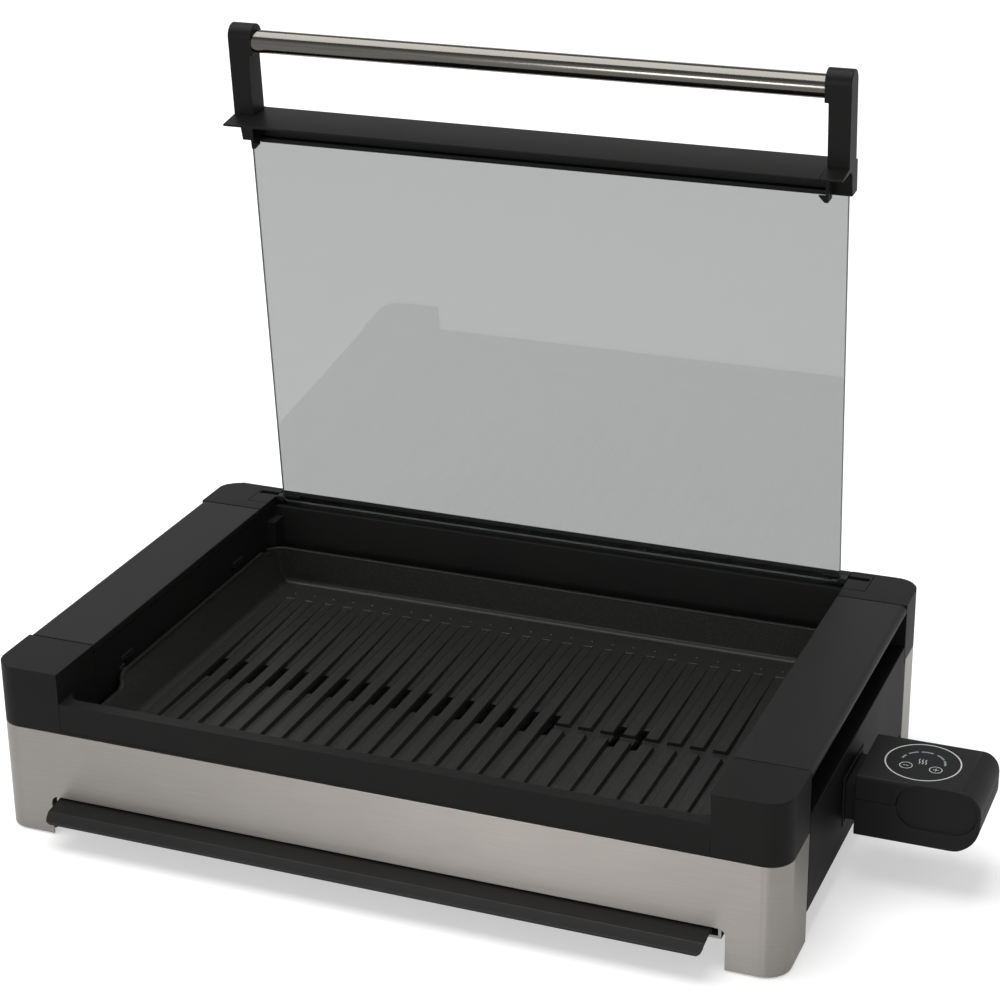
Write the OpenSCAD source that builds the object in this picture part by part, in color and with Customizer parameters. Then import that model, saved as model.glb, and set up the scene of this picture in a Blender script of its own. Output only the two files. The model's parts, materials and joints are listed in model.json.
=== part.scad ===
// Electric indoor grill with a hinged glass lid, a lift-out grill plate,
// a pull-out drip tray and a plug-in control unit.
// Millimetres, +Z up, the front faces -Y, the control unit is on the +X side.

/* [Body] */
// Width over the side bars
body_w = 520; // [505:1:540]
// Depth from the front steel to the rear steel
body_d = 325; // [322:1:335]
// Height of the side bars above the table
body_h = 116; // [115:0.5:118]
// Plan radius of the four body corners
corner_r = 16; // [10:1:18]
// Length of a front corner block along the side
front_block = 46; // [42:1:50]
// Length of a rear corner block along the side
rear_block = 41; // [40:1:44]
// Width of a side bar
bar_w = 47; // [45:0.5:48]
// Thickness of a side bar
bar_t = 5.6; // [4.5:0.1:6]
// Wall thickness of the black mouldings
wall = 2.6; // [2:0.1:3]

/* [Steel panels] */
// Top edge of the steel panels
steel_top = 74.5; // [72:0.5:76]
// Sheet thickness of the steel panels
sheet = 1; // [0.8:0.1:1.2]
// Top edge of the tray cut-out
cut_top = 28.2; // [28:0.1:30]
// Half width of the tray cut-out
cut_half = 224; // [222:0.5:226]
// Corner radius of the tray cut-out
cut_r = 5; // [3:0.5:7]

/* [Front rail and rear wall] */
// Top of the front rail
rail_top = 95.5; // [95:0.1:95.5]
// Depth of the front rail
rail_d = 10; // [8:0.5:10]
// Depth of the ledge under the glass below the top of the body
ledge_drop = 6.6; // [6.6:0.1:7]
// Front face of the rear wall, measured from the rear
ledge_back = 17.2; // [16:0.1:18]
// Width of the rear strip behind the glass
strip_w = 6.8; // [6:0.1:7]

/* [Grill plate] */
// Half width of the grill plate
plate_half = 211.2; // [210:0.1:211.3]
// Front edge of the grill plate
plate_y0 = 10.4; // [10.4:0.1:12]
// Gap between the grill plate and the rear wall
plate_back = 14.8; // [13:0.1:17]
// Lean of the plate's side walls in degrees
plate_lean = 27.4; // [20:0.1:30]
// Radius where the plate's walls meet its floor
plate_r = 5; // [3:0.5:6]
// Radius at the foot of the plate's front wall
front_r = 2.4; // [2:0.2:4]
// Rim height of the grill plate
rim_z = 85; // [83:0.5:86]
// Height of the lowered rim at the front
low_rim_z = 76.5; // [74:0.5:77]
// Height of the ribbed cooking surface
cook_z = 59.3; // [58.5:0.1:60]
// Height of the groove floors at the drain slots
groove_z = 56.2; // [55.6:0.1:57]
// Underside of the grill plate
under_z = 51.6; // [51.6:0.1:52]
// Number of grooves
groove_n = 25; // [17:2:27]
// Distance from groove to groove
groove_pitch = 15.1; // [12:0.1:15.1]
// Width of a groove
groove_w = 6.8; // [5:0.1:7.5]
// Length of a drain slot
slot_l = 27.5; // [15:0.5:32]
// Width of a drain slot
slot_w = 5.6; // [3:0.1:5.6]
// Width of the cross channel
channel_w = 9; // [6:0.5:12]
// Travel of the plate when it is lifted out
plate_lift = 140; // [110:5:150]

/* [Lid] */
// Half width of the glass
glass_half = 207.3; // [204:0.1:208]
// Thickness of the glass
glass_t = 4; // [3:0.5:5]
// Forward lean of the open lid in degrees
lid_lean = 4.53; // [3:0.01:6]
// Distance of the hinge line below the top of the body
hinge_drop = 3; // [2.6:0.1:3]
// Distance of the hinge line from the rear
hinge_back = 11; // [10.5:0.1:11.5]
// Front face of the glass in front of the hinge line
glass_off = 3.55; // [3.4:0.01:3.6]
// Lower edge of the crossbar above the hinge line
bar_low = 276.7; // [270:0.1:280]
// Forward reach of the crossbar flange from the glass
flange_out = 31.3; // [26:0.1:31.5]
// Outer half width of the handle brackets
bracket_half = 211.4; // [208:0.1:212]
// Width of a handle post
post_w = 14.4; // [12:0.1:16]
// Forward face of a handle post from the glass
post_front = 13.9; // [10:0.1:13.9]
// Rear face of a handle post from the glass
post_rear = -3; // [-4:0.1:-2]
// Handle tube above the hinge line
tube_up = 346.9; // [340:0.1:350]
// Radius of the handle tube
tube_r = 7.6; // [6.5:0.1:8]

/* [Drip tray] */
// Half width of the drip tray with its flanges
tray_half = 217; // [214:0.5:218]
// Play of the tray in its runners
tray_play = 2.2; // [2:0.1:3]
// Sideways seat of the tray within that play
tray_seat = -1.8; // [-1.9:0.1:1.9]
// Rear edge of the tray, measured from the rear of the body
tray_back = 34; // [32:0.5:40]
// Underside of the drip tray
tray_low = 12; // [10:0.5:13]
// Travel of the drip tray
tray_pull = 200; // [100:5:240]

/* [Control unit] */
// Centre of the control unit along the side
ctl_y = 150; // [145:0.5:155]
// Width of the control unit
ctl_w = 58.4; // [56:0.2:62]
// Top of the control unit
ctl_top = 76; // [75:0.5:78]
// Underside of the control unit
ctl_low = 34.2; // [33:0.2:36]
// Gap between the side panel and the control unit
ctl_gap = 8.4; // [7:0.1:10]
// Length of the control unit
ctl_len = 76.8; // [74:0.2:84]
// Radius of its upper end
ctl_top_r = 13.4; // [10:0.2:15]
// Radius of its lower end
ctl_low_r = 20.4; // [18:0.2:22]
// Radius of its long edges
ctl_edge = 2.6; // [1:0.1:3]
// Height of its parting line
ctl_part = 59.6; // [57:0.2:62]
// Height of the contact pins
pin_z = 46.2; // [45.8:0.1:46.6]
// Travel of the control unit when unplugged
ctl_pull = 76; // [76:1:90]

/* [Heating element] */
// Radius of the heating element tube
heat_r = 3.5; // [3:0.1:3.6]

/* [Hidden] */
$fn = 64;
hx = body_w / 2;
bar_in = hx - bar_w;
seam = 0.8;
y_side0 = front_block + seam;
y_side1 = body_d - rear_block - seam;
hinge_y = body_d - hinge_back;
ledge_y = body_d - ledge_back;
strip_y = body_d - strip_w;
frame_low = 30;
leg_low = 3;
pin_r = 1.75;
pin_fit = 0.06;
shoe_w = 4.9;
hinge_z = body_h - hinge_drop;
ledge_top = body_h - ledge_drop;
plate_y1 = ledge_y - plate_back;
plate_wall = 2.8;
tray_y1 = body_d - tray_back;
run_in = tray_half + tray_play;
post_c = (post_front + post_rear) / 2;
post_r = (post_front - post_rear) / 2;
post_top = tube_up + 3.2;
post_in = bracket_half - post_w;
flange_top = bar_low + 21.1;
ctl_x0 = hx + ctl_gap;
x_max = ctl_x0 + ctl_len;
ctl_flat_x = x_max - ctl_low_r;
ctl_y0 = ctl_y - ctl_w / 2;
ctl_y1 = ctl_y + ctl_w / 2;
ctl_wall = 2.2;
grip_r = 14.6;
grip_deep = 1.6;
grip_z = ctl_top - grip_r - 0.8;
grip_x0 = ctl_x0 + 25.2 + grip_r;
grip_x1 = x_max - 2.4 - grip_r;
tray_front = -18;
org_x = (x_max - hx) / 2;
org_y = (body_d + tray_front) / 2;
plate_mid = (plate_y0 + plate_y1) / 2;
sleeve_r = 2.4;
cover_t = 10;
screw_head_r = 2.2;
screw_x = run_in - 2 - screw_head_r;
screw_ys = [y_side0 + 24, (y_side0 + y_side1) / 2, y_side1 - 34];
probe_r = 3;
probe_tip = 195;
nose_low = pin_z - 6.8;
nose_top = nose_low + 25.2;
nose_half = 20;
nose_gap = 1.4;
sock_low = nose_low - nose_gap - 2.6;
sock_top = nose_top + nose_gap + 2.6;
sock_half = nose_half + nose_gap + 2.6;
tab_len = 15;
tab_ys = [78, 237];

// ---------------------------------------------------------------- helpers
module rounded(x0, y0, x1, y1, r) {
  translate([x0 + r, y0]) square([x1 - x0 - 2 * r, y1 - y0]);
  translate([x0, y0 + r]) square([x1 - x0, y1 - y0 - 2 * r]);
  for (x = [x0 + r, x1 - r]) for (y = [y0 + r, y1 - r]) translate([x, y]) circle(r = r);
}

module box(x0, y0, z0, x1, y1, z1) {
  translate([x0, y0, z0]) cube([x1 - x0, y1 - y0, z1 - z0]);
}

// a flat shape drawn in X and Z, given depth from y0 to y1
module along_y(y0, y1) {
  translate([0, y1, 0]) rotate([90, 0, 0]) linear_extrude(height = y1 - y0) children();
}

// a flat shape drawn in Y and Z, given width from x0 to x1
module along_x(x0, x1) {
  translate([x0, 0, 0]) rotate([90, 0, 90]) linear_extrude(height = x1 - x0) children();
}

module rod_x(x0, x1, y, z, r) {
  translate([x0, y, z]) rotate([0, 90, 0]) cylinder(r = r, h = x1 - x0);
}

module body_plan(inset) {
  rounded(-hx + inset, inset, hx - inset, body_d - inset, corner_r - inset);
}

// parts of the lid are drawn upright round the hinge line, then leaned forward
module on_lid() {
  translate([0, hinge_y, hinge_z]) rotate([lid_lean, 0, 0]) children();
}

// ---------------------------------------------------------------- steel panels
module cut_out_shape() {
  translate([-cut_half, -20]) square([2 * cut_half, 20 + cut_top - cut_r]);
  translate([-cut_half + cut_r, 0]) square([2 * cut_half - 2 * cut_r, cut_top]);
  for (s = [-1, 1]) translate([s * (cut_half - cut_r), cut_top - cut_r]) circle(r = cut_r);
}

module steel_shell(y0, y1) {
  difference() {
    translate([0, 0, 1]) linear_extrude(height = steel_top - 1) intersection() {
      difference() {
        body_plan(0);
        body_plan(sheet);
      }
      translate([-hx - 1, y0]) square([body_w + 2, y1 - y0]);
    }
    along_y(y0 - 1, y1 + 1) cut_out_shape();
  }
}

module steel_front() {
  color([0.6, 0.59, 0.57]) steel_shell(-1, front_block);
}

module steel_rear() {
  color([0.6, 0.59, 0.57]) steel_shell(body_d - rear_block + 4, body_d + 1);
}

// ---------------------------------------------------------------- upper frame
module block_hollow(x0, y0, x1, y1, r, top) {
  translate([0, 0, -1]) linear_extrude(height = top + 1) rounded(x0, y0, x1, y1, r);
}

module corner_columns() {
  difference() {
    union() {
      translate([0, 0, steel_top]) linear_extrude(height = body_h - steel_top) intersection() {
        body_plan(0);
        union() {
          for (s = [-1, 1]) translate([s > 0 ? bar_in + 0.2 : -hx - 1, -1])
            square([hx - bar_in + 0.8, front_block + 1]);
          for (s = [-1, 1]) translate([s > 0 ? bar_in : -hx - 1, body_d - rear_block])
            square([hx - bar_in + 1, rear_block + 1]);
        }
      }
      translate([0, 0, leg_low]) linear_extrude(height = steel_top - leg_low) intersection() {
        body_plan(sheet);
        union() {
          for (s = [-1, 1]) translate([s > 0 ? cut_half + 1 : -hx, 0])
            square([hx - cut_half - 1, front_block]);
          for (s = [-1, 1]) translate([s > 0 ? cut_half + 1 : -hx, body_d - rear_block + 4])
            square([hx - cut_half - 1, rear_block - 4]);
        }
      }
    }
    for (s = [-1, 1]) {
      xa = s > 0 ? cut_half + 1 + wall : -hx + sheet + wall;
      xb = s > 0 ? hx - sheet - wall : -cut_half - 1 - wall;
      block_hollow(xa, sheet + wall, xb, front_block - wall, 8, body_h - wall);
      block_hollow(xa, body_d - rear_block + 4 + wall, xb, body_d - sheet - wall, 8,
        body_h - cover_t - wall - 0.4);
    }
  }
}

module front_rail() {
  difference() {
    box(-bar_in - 1, 0, steel_top, bar_in + 1, rail_d, rail_top);
    box(-bar_in - 0.2, -1, steel_top + 2, bar_in + 0.2, 0.5, rail_top + 1);
  }
  difference() {
    for (s = [-1, 1]) box(s > 0 ? bar_in - 10 : -bar_in - 0.3, rail_d - 0.5, steel_top,
      s > 0 ? bar_in + 0.3 : -bar_in + 10, rail_d + 10, rail_top);
    for (s = [-1, 1]) translate([s * (bar_in - 10.2), rail_d + 10.2, steel_top - 1])
      cylinder(r = 10.2, h = rail_top - steel_top + 2);
    translate([0, 0, low_rim_z - 30]) along_y(rail_d, rail_d + 11) translate([-plate_half - 0.6, 0])
      square([2 * plate_half + 1.2, 31.7]);
  }
}

module frame_walls() {
  // inner side walls under the bars
  for (s = [-1, 1]) box(s > 0 ? bar_in : -bar_in - wall, front_block - 0.5, frame_low,
    s > 0 ? bar_in + wall : -bar_in, body_d - rear_block + 0.5, body_h - bar_t);
  // skirts behind the steel and under the corner blocks
  for (s = [-1, 1]) box(s > 0 ? bar_in : -bar_in - wall, sheet, frame_low,
    s > 0 ? bar_in + wall : -bar_in, body_d - sheet, steel_top + 1);
  box(-cut_half - 2, sheet, frame_low, cut_half + 2, sheet + wall, steel_top + 1);
  box(-cut_half - 2, body_d - sheet - wall, frame_low, cut_half + 2, body_d - sheet, steel_top + 1);
  // foot flanges that carry the tray runners
  for (s = [-1, 1]) box(s > 0 ? bar_in : -bar_in - 8, front_block, frame_low,
    s > 0 ? bar_in + 8 : -bar_in, body_d - rear_block, frame_low + 3);
  // guide posts for the plate in the rear corners
  for (s = [-1, 1]) box(s > 0 ? bar_in - 6 : -bar_in - 0.5, plate_y1 + 1, under_z,
    s > 0 ? bar_in + 0.5 : -bar_in + 6, ledge_y + 0.5, ledge_top - 7.4);
  // rear wall with its ledge, lip and strip
  box(-bar_in - 0.5, ledge_y, frame_low, bar_in + 0.5, ledge_y + wall, ledge_top);
  box(-bar_in - 0.5, ledge_y, ledge_top - wall, bar_in + 0.5, body_d, ledge_top);
  box(-206, strip_y - 2.1, ledge_top - 1, 206, strip_y - 1.1, ledge_top + 2.6);
  box(-bar_in - 0.5, strip_y, steel_top, bar_in + 0.5, body_d, body_h - 0.5);
}

module socket_holes() {
  for (d = [-15, 0, 15]) rod_x(200, hx + 10, ctl_y + d, pin_z, 5);
}

module upper_frame() {
  color([0.11, 0.11, 0.11]) difference() {
    union() {
      corner_columns();
      front_rail();
      frame_walls();
    }
    for (s = [-1, 1]) box(s > 0 ? bar_in - 0.6 : -bar_in - 15.7, body_d - 29.2, body_h - cover_t - 0.2,
      s > 0 ? bar_in + 15.7 : -bar_in + 0.6, body_d - 3.3, body_h + 1);
    socket_holes();
    screw_ways();
    // a hole below each plate tab
    for (y = tab_ys) box(-bar_in - wall - 1, y - 1, rim_z - 0.8, -bar_in + 1, y + 8, rim_z + 4.4);
    for (y = tab_ys) box(bar_in - 1, y - 1, rim_z - 0.8, bar_in + wall + 1, y + 8, rim_z + 4.4);
    // the tray passes below the front skirt
    box(-cut_half, -1, 0, cut_half, 8, frame_low);
  }
}

// ---------------------------------------------------------------- side bars
module bar_shape() {
  // the outer edge is round above and nearly square below
  top_r = bar_t * 0.72;
  low_r = bar_t * 0.2;
  difference() {
    intersection() {
      translate([0, body_h - bar_t]) square([bar_w, bar_t]);
      union() {
        translate([0, body_h - bar_t]) square([bar_w - top_r, bar_t]);
        translate([bar_w - top_r - 1, body_h - bar_t]) square([top_r + 1 - low_r, bar_t - top_r]);
        translate([bar_w - top_r - 1, body_h - bar_t + low_r]) square([top_r + 1, bar_t - top_r - low_r]);
        translate([bar_w - top_r, body_h - top_r]) circle(r = top_r);
        translate([bar_w - low_r, body_h - bar_t + low_r]) circle(r = low_r);
      }
    }
    translate([bar_w * 0.3, body_h - bar_t - 1]) square([bar_w * 0.5, 2.2]);
  }
}

module side_bar_right() {
  color([0.12, 0.12, 0.12]) along_y(y_side0, y_side1) translate([bar_in, 0]) bar_shape();
}

module side_bar_left() {
  color([0.12, 0.12, 0.12]) mirror([1, 0, 0]) along_y(y_side0, y_side1)
    translate([bar_in, 0]) bar_shape();
}

// ---------------------------------------------------------------- side panels
module panel_half() {
  along_y(y_side0, y_side1) {
    translate([hx - 3, 20.5]) square([3, 65.5]);
    translate([hx - 15, 83]) square([14, 3]);
  }
  box(hx - 3, y_side1 - 1, 20.5, hx, y_side1 + 3.4, steel_top - 0.5);
  box(bar_in + wall, front_block + 0.8, frame_low + 4, hx - 2, front_block + 3.4, 84);
  box(bar_in + wall, y_side1 - 3, frame_low + 4, hx - 2, y_side1, 84);
}

module side_panel_left() {
  color([0.1, 0.1, 0.1]) mirror([1, 0, 0]) panel_half();
}

module side_panel_right() {
  color([0.1, 0.1, 0.1]) difference() {
    panel_half();
    box(hx - 4, ctl_y - sock_half - 0.4, sock_low - 0.4, hx + 1, ctl_y + sock_half + 0.4, sock_top + 0.4);
  }
}

// ---------------------------------------------------------------- hinge covers
module cover_half() {
  difference() {
    box(bar_in, body_d - 29, body_h - cover_t, bar_in + 15.5, body_d - 3.5, body_h);
    box(bar_in - 1, hinge_y - 2.8, hinge_z + 0.6, bar_in + 14.2, hinge_y + 2.8, body_h + 1);
    box(bar_in - 1, hinge_y - pin_r - pin_fit, hinge_z, bar_in + 14.2, hinge_y + pin_r + pin_fit,
      body_h + 1);
    rod_x(bar_in - 1, bar_in + 14.2, hinge_y, hinge_z, pin_r + pin_fit);
  }
}

module hinge_cover_right() {
  color([0.13, 0.13, 0.13]) cover_half();
}

module hinge_cover_left() {
  color([0.13, 0.13, 0.13]) mirror([1, 0, 0]) cover_half();
}

// ---------------------------------------------------------------- feet and fasteners
module foot_pads() {
  color([0.08, 0.08, 0.08]) for (s = [-1, 1]) for (y = [0, 1]) {
    xa = s > 0 ? cut_half + 2 : -hx + 3;
    xb = s > 0 ? hx - 3 : -cut_half - 2;
    ya = y > 0 ? body_d - rear_block + 5 : 3;
    yb = y > 0 ? body_d - 3 : front_block - 1;
    linear_extrude(height = leg_low) rounded(xa, ya, xb, yb, 11);
    translate([0, 0, leg_low - 1]) linear_extrude(height = 5)
      rounded(xa + 2.6, ya + 2.6, xb - 2.6, yb - 2.6, 7);
  }
}

module frame_screws() {
  color([0.55, 0.55, 0.55]) for (s = [-1, 1]) for (y = screw_ys) {
    translate([s * screw_x, y, frame_low - 2 - 1.9]) {
      cylinder(r = screw_head_r, h = 1.9);
      translate([0, 0, 1]) cylinder(r = 1.3, h = 5.6);
    }
  }
}

// ---------------------------------------------------------------- heat shield and plate seats
shield_half = bar_in - 4.5;
shield_y0 = 14;
shield_y1 = ledge_y - 2;
shield_t = 0.8;
shield_z = 32;

module heat_shield() {
  color([0.62, 0.62, 0.62]) difference() {
    union() {
      difference() {
        box(-shield_half, shield_y0, shield_z, shield_half, shield_y1, shield_z + 17);
        box(-shield_half + shield_t, shield_y0 + shield_t, shield_z - 1, shield_half - shield_t,
          shield_y1 - shield_t, shield_z + 18);
      }
      difference() {
        box(-shield_half, shield_y0, shield_z, shield_half, shield_y1, shield_z + 1);
        box(-shield_half + 18.5, shield_y0 + 20, shield_z - 1, shield_half - 18.5, shield_y1 - 37.8,
          shield_z + 2);
      }
      // hanger lugs to the frame walls
      for (s = [-1, 1]) for (y = [shield_y0 + 46, shield_y1 - 56]) box(s > 0 ? shield_half - 0.5 : -bar_in,
        y, shield_z + 14, s > 0 ? bar_in : -shield_half + 0.5, y + 12, shield_z + 15);
    }
    socket_holes();
  }
}

module plate_posts() {
  color([0.5, 0.5, 0.5]) for (x = [-plate_half + 27, plate_half - 27]) for (y = [plate_y0 + 13.6, plate_y1 - 13])
    translate([x, y, shield_z + 1]) cylinder(r = 5, h = under_z - shield_z - 1);
}

module plate_guides() {
  color([0.3, 0.3, 0.3]) for (s = [-1, 1]) for (y = tab_ys)
    box(s > 0 ? bar_in - 1.5 : -bar_in, y, rim_z + 4.4, s > 0 ? bar_in : -bar_in + 1.5, y + tab_len, rim_z + 7.8);
}

// ---------------------------------------------------------------- heating element
bend_r = 22;

module quarter_bend(x, y, a) {
  translate([x, y, pin_z]) rotate([0, 0, a]) rotate_extrude(angle = 90)
    translate([bend_r, 0]) circle(r = heat_r, $fn = 32);
}

module run_x(x0, x1, y) {
  rod_x(x0, x1, y, pin_z, heat_r);
}

module run_y(x, y0, y1) {
  translate([x, y1, pin_z]) rotate([90, 0, 0]) cylinder(r = heat_r, h = y1 - y0);
}

// one half of the element, drawn towards +Y from its cold end
element_far = -172;
element_near = 150;
run_a = 15;
run_b = run_a + 2 * bend_r;
run_c = run_b + 2 * bend_r;

module element_half() {
  run_x(element_far, bar_in + 16, run_a);
  quarter_bend(element_far, run_a + bend_r, 180);
  quarter_bend(element_far, run_b - bend_r, 90);
  run_x(element_far, element_near, run_b);
  quarter_bend(element_near, run_b + bend_r, 270);
  quarter_bend(element_near, run_c - bend_r, 0);
  run_x(element_far, element_near, run_c);
  quarter_bend(element_far, run_c - bend_r, 90);
}

module heating_element() {
  color([0.25, 0.24, 0.23]) translate([0, ctl_y, 0]) {
    element_half();
    mirror([0, 1, 0]) element_half();
    run_y(element_far - bend_r, bend_r - run_c, run_c - bend_r);
  }
}

module element_straps() {
  color([0.6, 0.6, 0.6]) for (x = [-120, 20, 135])
    box(x - 5, shield_y0 + shield_t, pin_z - heat_r - 1.2, x + 5, shield_y1 - shield_t, pin_z - heat_r);
}

// ---------------------------------------------------------------- socket in the right side
module socket_housing() {
  color([0.16, 0.16, 0.16]) difference() {
    union() {
      box(bar_in + wall, ctl_y - sock_half, sock_low, hx + 0.8, ctl_y + sock_half, sock_top);
    }
    box(236, ctl_y - nose_half - nose_gap, nose_low - nose_gap, hx + 6, ctl_y + nose_half + nose_gap,
      nose_top + nose_gap);
    for (d = [-15, 15]) rod_x(200, 240, ctl_y + d, pin_z, heat_r + 0.05);
    rod_x(200, 240, ctl_y, pin_z, probe_r + 0.5);
  }
}

module contact_pins() {
  color([0.75, 0.72, 0.6]) {
    for (d = [-15, 15]) rod_x(bar_in + 16, 256, ctl_y + d, pin_z, 2);
    box(236, ctl_y - 3, nose_top - 4.6, 254, ctl_y + 3, nose_top - 3);
  }
}

// ---------------------------------------------------------------- tray runners
// channel round the tray flange, round at its upper outer edge
module runner_half() {
  run_low = tray_low + 8.5;
  along_y(1.6, body_d - 22) difference() {
    union() {
      translate([bar_in - 2, run_low]) square([run_in + 2 - 4 - bar_in + 2, frame_low - run_low]);
      translate([bar_in, run_low]) square([run_in + 2 - bar_in, frame_low - run_low - 4]);
      translate([run_in - 2, frame_low - 4]) circle(r = 4);
    }
    translate([bar_in - 4, tray_low + 10.3]) square([run_in - 2 - bar_in + 4, frame_low - tray_low - 12.3]);
    translate([bar_in, tray_low + 10.3]) square([run_in - bar_in, frame_low - tray_low - 14.3]);
    translate([run_in - 2, frame_low - 4]) circle(r = 2);
    translate([bar_in - 4, run_low - 1]) square([tray_half - 4.5 - bar_in + 4, 4]);
  }
}

module tray_runner_right() {
  color([0.5, 0.5, 0.5]) difference() {
    runner_half();
    screw_ways();
  }
}

module tray_runner_left() {
  color([0.5, 0.5, 0.5]) difference() {
    mirror([1, 0, 0]) runner_half();
    screw_ways();
  }
}

module screw_ways() {
  for (s = [-1, 1]) for (y = screw_ys) translate([s * screw_x, y, 20])
    cylinder(r = 1.35, h = 14);
}

// ---------------------------------------------------------------- drip tray
tray_t = 1.6;
tray_top = tray_low + 12;

module tray_lip() {
  // drooping lip in front of the steel, with round lower corners
  intersection() {
    along_x(-tray_half, tray_half)
      polygon([[3.6, tray_top + 3.4], [-13.2, tray_top + 1.2], [tray_front, tray_top - 3.6],
        [tray_front, tray_top - 5.4], [-12.8, tray_top - 0.8], [2, tray_top + 1.5],
        [2, tray_top - tray_t], [3.6, tray_top - tray_t]]);
    along_y(tray_front - 1, 4) union() {
      rounded(-tray_half, tray_top - 5.5, tray_half, tray_top + 20, 4.5);
    }
  }
}

module drip_tray() {
  color([0.12, 0.12, 0.12]) translate([tray_seat, 0, 0]) {
    difference() {
      box(-tray_half + 7, 2, tray_low, tray_half - 7, tray_y1 - 3, tray_top);
      box(-tray_half + 7 + tray_t, 3.6, tray_low + tray_t, tray_half - 7 - tray_t, tray_y1 - 3 - tray_t,
        tray_top + 1);
    }
    difference() {
      box(-tray_half, 2, tray_top - tray_t, tray_half, tray_y1, tray_top);
      box(-tray_half + 7 + tray_t - 0.2, 3.6, tray_top - 3, tray_half - 7 - tray_t + 0.2,
        tray_y1 - 3 - tray_t, tray_top + 1);
    }
    tray_lip();
  }
}

// ---------------------------------------------------------------- grill plate
// where a wall that leans by w and ends at x on the floor takes the centre of its foot radius
function foot_x(x, w, r) = x - r * (1 - sin(w)) / cos(w);

// hollow beside one wall: the wall leans out to the right, the floor lies at the given height
module foot_shape(inner, x, w, r, floor_z, top) {
  c = foot_x(x, w, r);
  union() {
    polygon([[inner, floor_z], [c, floor_z], [c, floor_z + r], [c + r * cos(w), floor_z + r - r * sin(w)],
      [x + (top - floor_z) * tan(w), top], [x + (top - floor_z) * tan(w), rim_z + 1], [inner, rim_z + 1]]);
    translate([c, floor_z + r]) circle(r = r);
  }
}

side_foot = plate_half - plate_wall - (rim_z - 3 - cook_z) * tan(plate_lean);
rear_foot = plate_y1 - plate_wall - (rim_z - 3 - cook_z) * tan(4.4);
front_foot = -plate_y0 - plate_wall - (low_rim_z - 3 - cook_z) * tan(8);
groove_y0 = -front_foot + 2.1;

module pan_outer() {
  low_half = side_foot + 3.2 - (cook_z - under_z) * tan(plate_lean);
  intersection() {
    along_y(plate_y0, plate_y1)
      polygon([[-plate_half, rim_z], [-plate_half, rim_z - 3], [-low_half, under_z], [low_half, under_z],
        [plate_half, rim_z - 3], [plate_half, rim_z]]);
    along_x(-plate_half, plate_half)
      polygon([[plate_y0, rim_z], [plate_y0, 64], [plate_y0 + 5, under_z], [plate_y1 - 5, under_z],
        [plate_y1, 64], [plate_y1, rim_z]]);
    translate([0, 0, under_z - 1]) linear_extrude(height = rim_z - under_z + 2)
      rounded(-plate_half, plate_y0, plate_half, plate_y1, 14);
  }
}

module pan_inner() {
  intersection() {
    along_y(plate_y0, plate_y1) for (m = [0, 1]) mirror([m, 0])
      foot_shape(-1, side_foot, plate_lean, plate_r, cook_z, rim_z - 3);
    along_x(-plate_half, plate_half) {
      foot_shape(plate_mid, rear_foot, 4.4, plate_r - 1, cook_z, rim_z - 3);
      mirror([1, 0]) foot_shape(-plate_mid - 1, front_foot, 8, front_r, cook_z, low_rim_z - 3);
    }
    translate([0, 0, under_z]) linear_extrude(height = rim_z - under_z + 2)
      rounded(-plate_half + plate_wall, plate_y0 + plate_wall, plate_half - plate_wall, plate_y1 - plate_wall,
        14 - plate_wall);
  }
}

function groove_x(k) = (k - (groove_n - 1) / 2) * groove_pitch;

module grooves() {
  intersection() {
    along_y(plate_y0, plate_y1) for (k = [0 : groove_n - 1]) translate([groove_x(k), 0])
      polygon([[-groove_w / 2, cook_z + 4], [-groove_w / 2, cook_z - 0.2], [-groove_w / 2 + 1.1, groove_z],
        [groove_w / 2 - 1.1, groove_z], [groove_w / 2, cook_z - 0.2], [groove_w / 2, cook_z + 4]]);
    // the groove floors fall from both ends towards the drain slots; in front they start in the wall's foot
    along_x(-plate_half, plate_half)
      polygon([[groove_y0 - 1.4, cook_z + 4], [groove_y0, cook_z - 2], [plate_mid - slot_l / 2, groove_z],
        [plate_mid + slot_l / 2, groove_z], [plate_y1 - 30, cook_z - 0.1], [plate_y1 - 29, cook_z + 1]]);
  }
}

module front_step() {
  // the side rims and the front rim are lower near the front
  along_x(-plate_half - 1, plate_half + 1)
    polygon([[plate_y0 - 1, low_rim_z], [64, low_rim_z], [68, low_rim_z + 1.4],
      [73, rim_z - 1.6], [77, rim_z], [77, rim_z + 2], [plate_y0 - 1, rim_z + 2]]);
}

module grill_plate() {
  color([0.13, 0.13, 0.13]) difference() {
    pan_outer();
    pan_inner();
    grooves();
    front_step();
    // drain slots
    for (k = [0 : groove_n - 1]) if (k <= 16 || k == 19 || k == 20)
      box(groove_x(k) - slot_w / 2, plate_mid - slot_l / 2, under_z - 1,
        groove_x(k) + slot_w / 2, plate_mid + slot_l / 2, cook_z);
    // cross channel
    box(groove_x(16), plate_mid - channel_w / 2 - 4.7, groove_z,
      groove_x(groove_n - 1), plate_mid + channel_w / 2 - 4.7, cook_z + 1);
    // small notch in the rim at the rear corners
    for (s = [-1, 1]) box(s > 0 ? plate_half - 4 : -plate_half - 1, plate_y1 - 15, rim_z - 3,
      s > 0 ? plate_half + 1 : -plate_half + 4, plate_y1 - 9, rim_z + 1);
  }
}

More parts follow.
